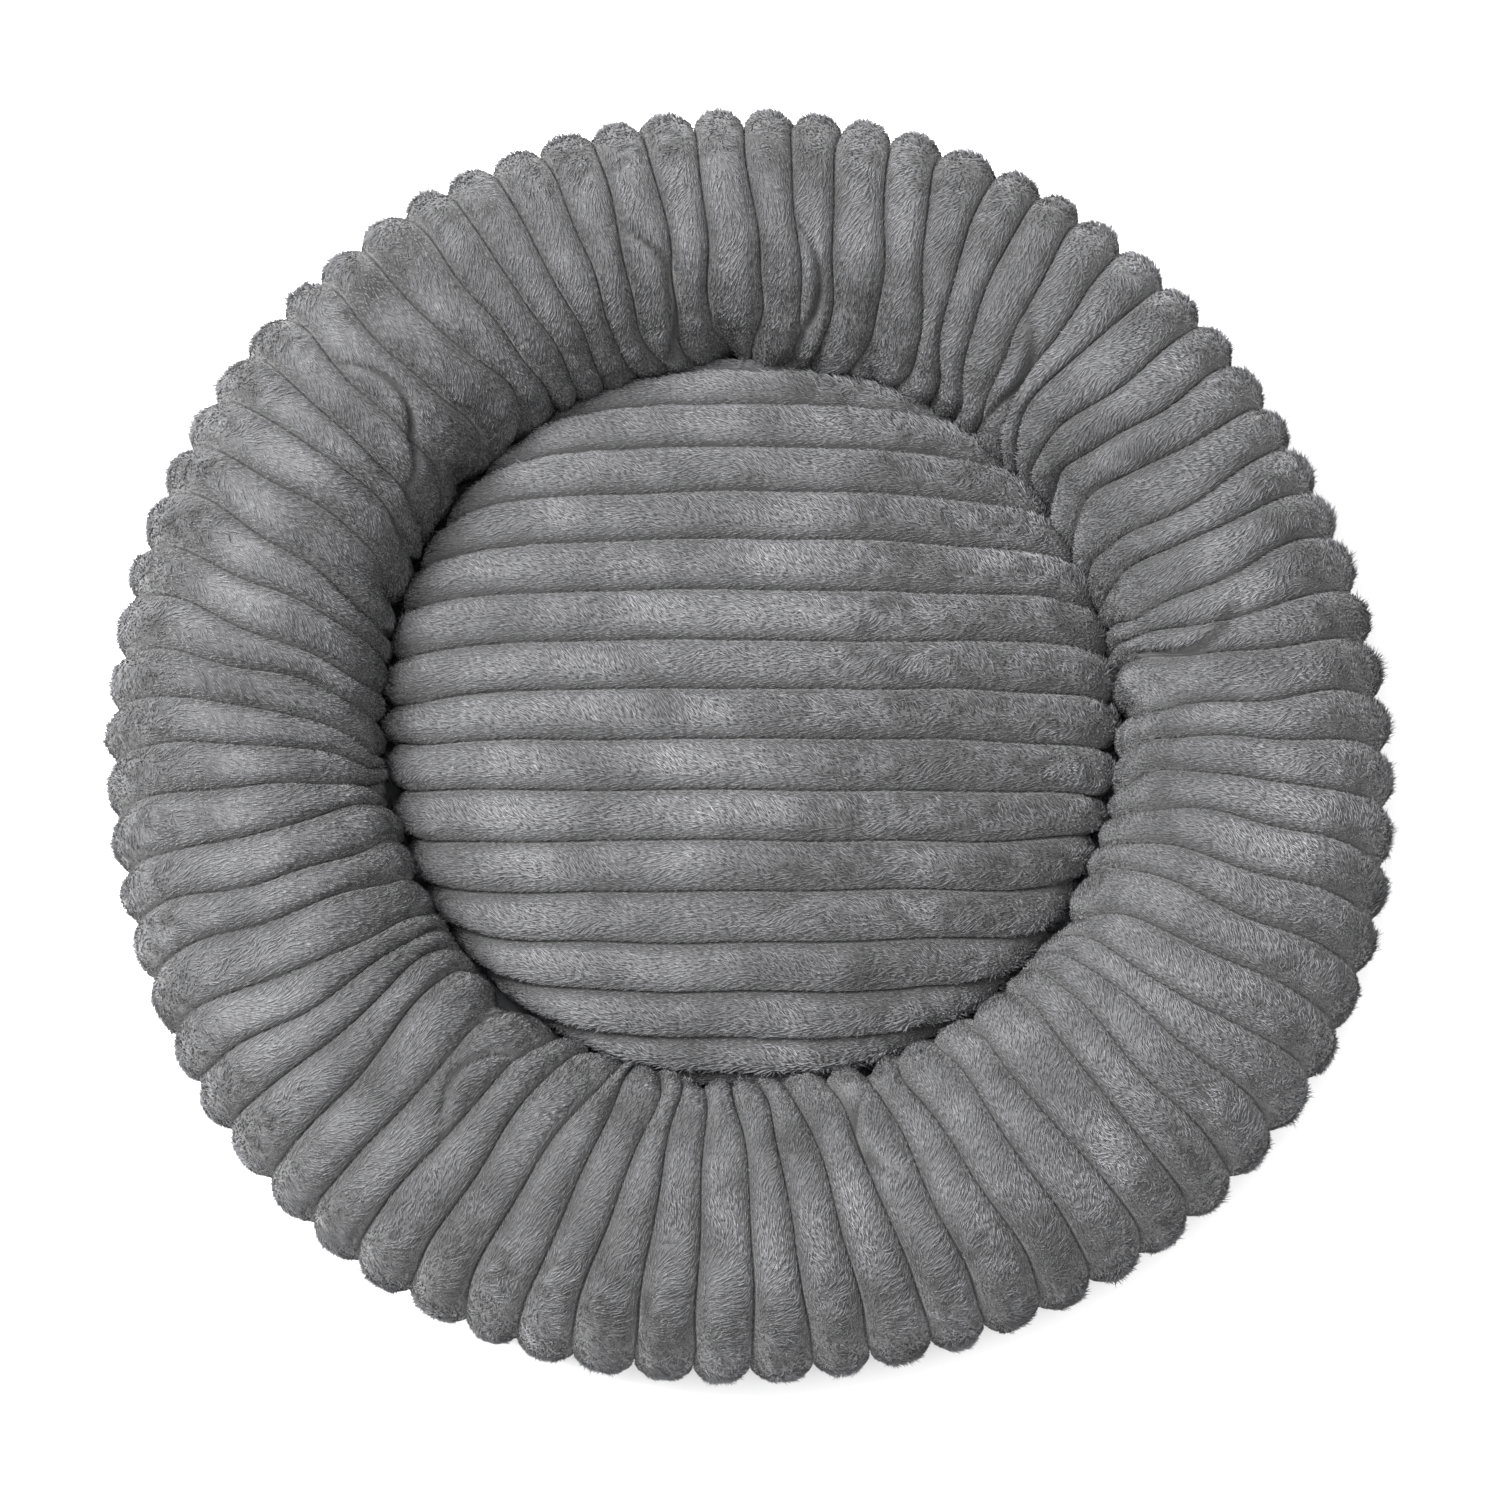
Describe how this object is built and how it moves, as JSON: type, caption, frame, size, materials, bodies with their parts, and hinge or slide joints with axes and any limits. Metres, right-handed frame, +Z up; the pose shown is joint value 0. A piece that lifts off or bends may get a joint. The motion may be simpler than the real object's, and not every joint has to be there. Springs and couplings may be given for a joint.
{
  "type": "pet bed",
  "caption": "Round plush bolster bed for a cat or small dog: a stuffed ring sewn to a flat base, with a loose domed cushion inside and a zip low in the rear wall.",
  "frame": {"origin": "on the floor under the middle of the ring's outer circle, in the base's flat underside", "axes": "+Z up, -Y towards the front of the bed, +Y towards the zip in the rear wall, +X to the right seen from the front"},
  "size_m": [0.6, 0.6, 0.165],
  "materials": {
    "plush": "grey sculpted faux-fur plush in wide ribs",
    "lining_cloth": "plain woven polyester",
    "grip_cloth": "plain woven polyester with moulded rubber grip dots",
    "liner_cloth": "spun-bonded polypropylene",
    "fibre": "hollow polyester fibre",
    "zip_tape": "twill tape",
    "zip_nylon": "moulded nylon",
    "zip_metal": "nickel-plated zinc"
  },
  "bodies": {
    "bed": {"ring_cover": "plush", "ring_liner": "liner_cloth", "ring_filling": "fibre", "base_panel": "grip_cloth", "base_pad": "fibre", "base_lining": "lining_cloth", "zip_tape_upper": "zip_tape", "zip_tape_lower": "zip_tape", "zip_teeth_upper": "zip_nylon", "zip_teeth_lower": "zip_nylon", "zip_bottom_stop": "zip_metal", "zip_top_stop": "zip_metal"},
    "seat_cushion": {"cushion_top_cover": "plush", "cushion_underside": "lining_cloth", "cushion_filling": "fibre"},
    "slider": {"zip_slider": "zip_metal"},
    "pull": {"zip_pull": "zip_metal"}
  },
  "joints": [
    {"name": "cushion_lift", "type": "slide", "parent": "bed", "child": "seat_cushion", "axis": [0, 0, 1], "range_m": [0, 0.17]},
    {"name": "zip_run", "type": "hinge", "parent": "bed", "child": "slider", "pos_m": [0, 0, 0.031], "axis": [0, 0, 1], "range_deg": [-78, 0]},
    {"name": "pull_swing", "type": "hinge", "parent": "slider", "child": "pull", "pos_m": [-0.18279, 0.22514, 0.02964], "axis": [-0.1583, 0.1949, 0.968], "range_deg": [0, 150]}
  ]
}
